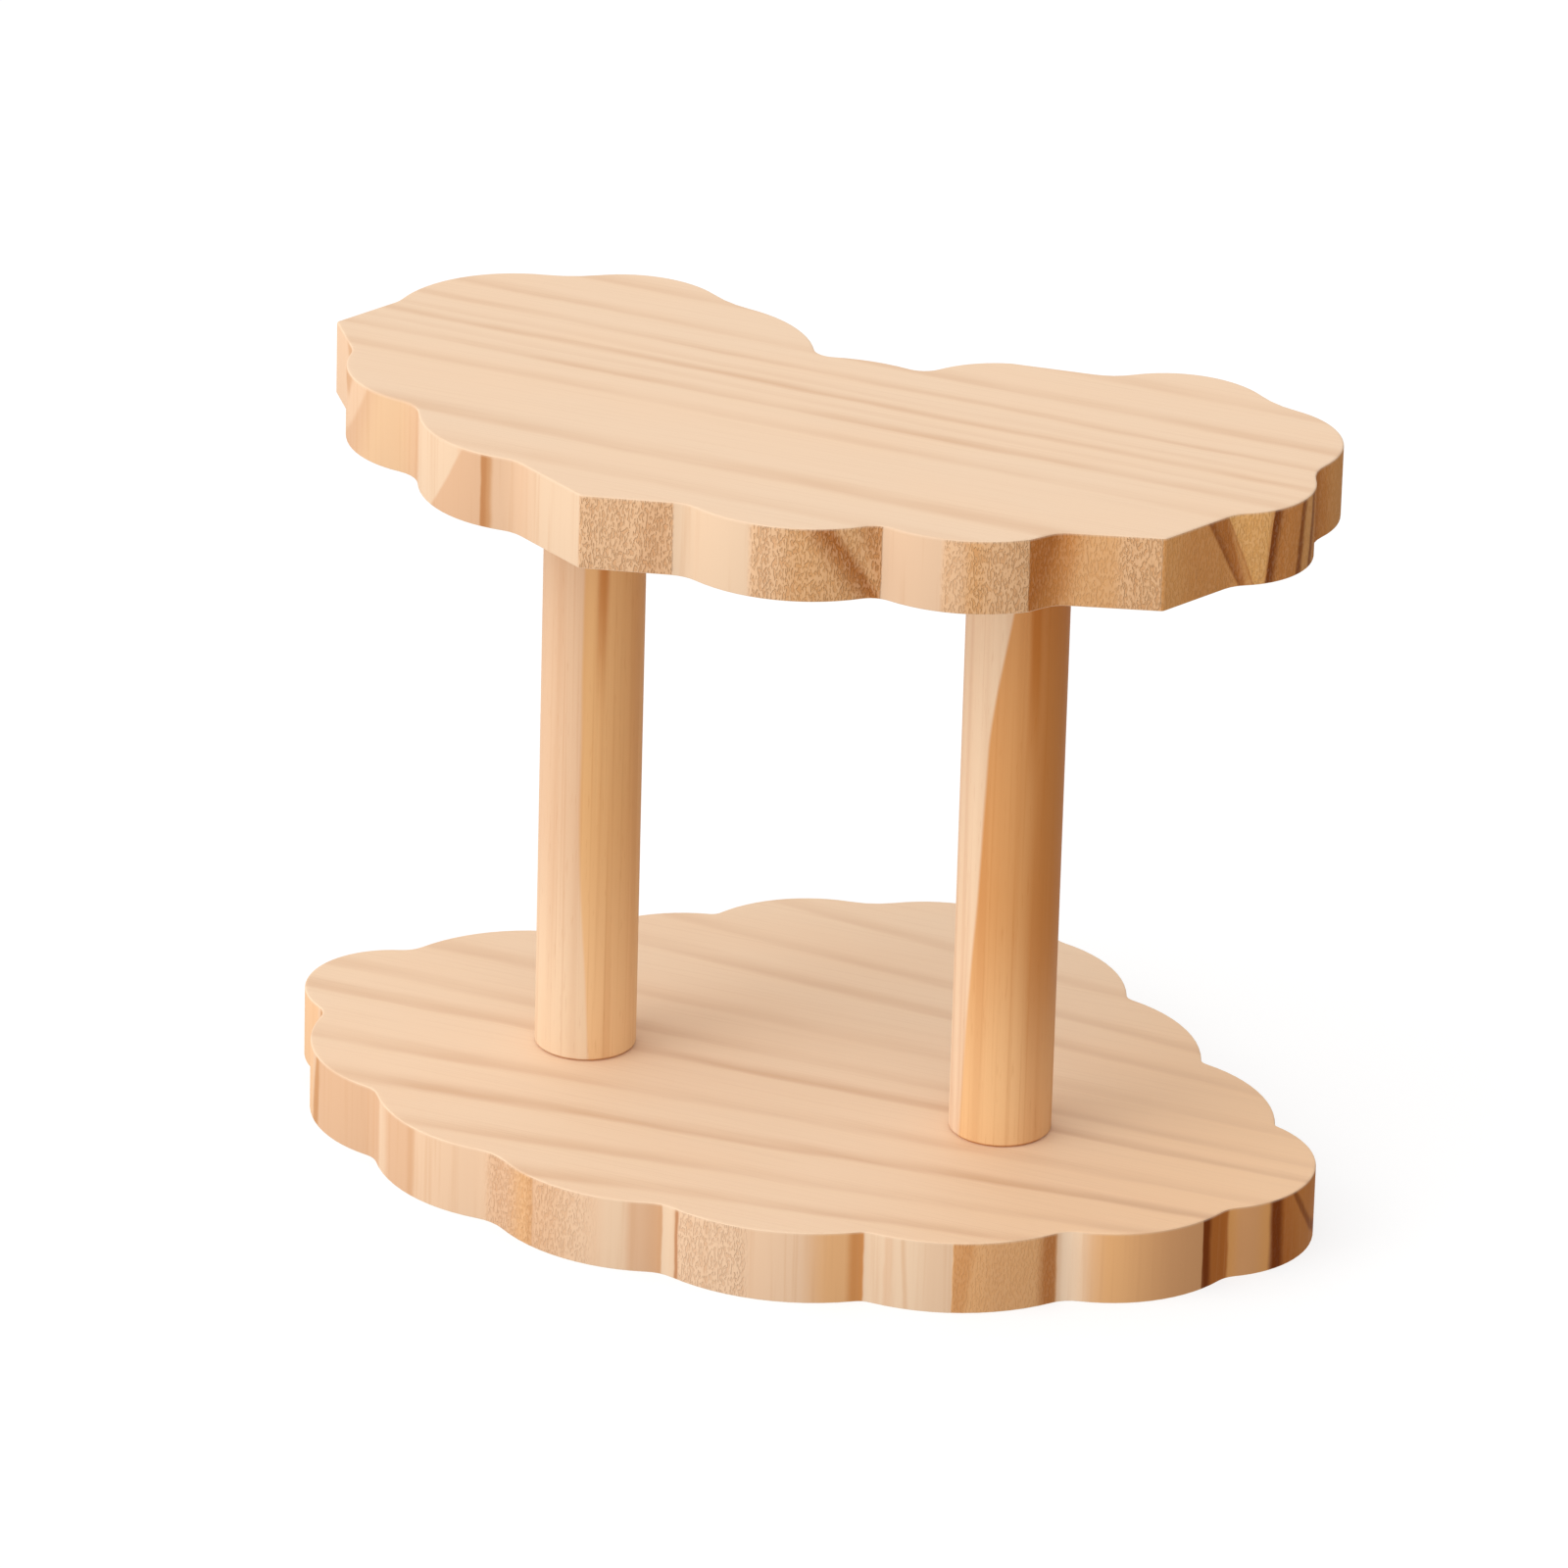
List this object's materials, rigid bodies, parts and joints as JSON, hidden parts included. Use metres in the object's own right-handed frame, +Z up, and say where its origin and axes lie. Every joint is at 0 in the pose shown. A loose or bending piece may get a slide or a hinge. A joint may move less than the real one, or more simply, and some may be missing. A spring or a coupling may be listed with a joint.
{
  "type": "display rack",
  "caption": "Two-tier wooden display rack: a scalloped cloud-shaped top board held over a scalloped base board by round posts.",
  "frame": {"origin": "on the underside of the base board, midway between the centres of the two posts", "axes": "+X along the row of posts to the right as seen from the front, +Y to the back, +Z up"},
  "size_m": [0.256, 0.188, 0.186],
  "materials": {
    "pine_board": "fine sanded, unfinished, sawn scalloped edges",
    "pine_post": "turned and sanded, unfinished",
    "beech_pin": "fluted, unfinished",
    "screw_steel": "bright zinc plated"
  },
  "bodies": {
    "root": {"base_board": "pine_board", "top_board": "pine_board", "left_post": "pine_post", "right_post": "pine_post", "left_foot_screw": "screw_steel", "right_foot_screw": "screw_steel", "left_head_pin": "beech_pin", "right_head_pin": "beech_pin"}
  },
  "joints": []
}
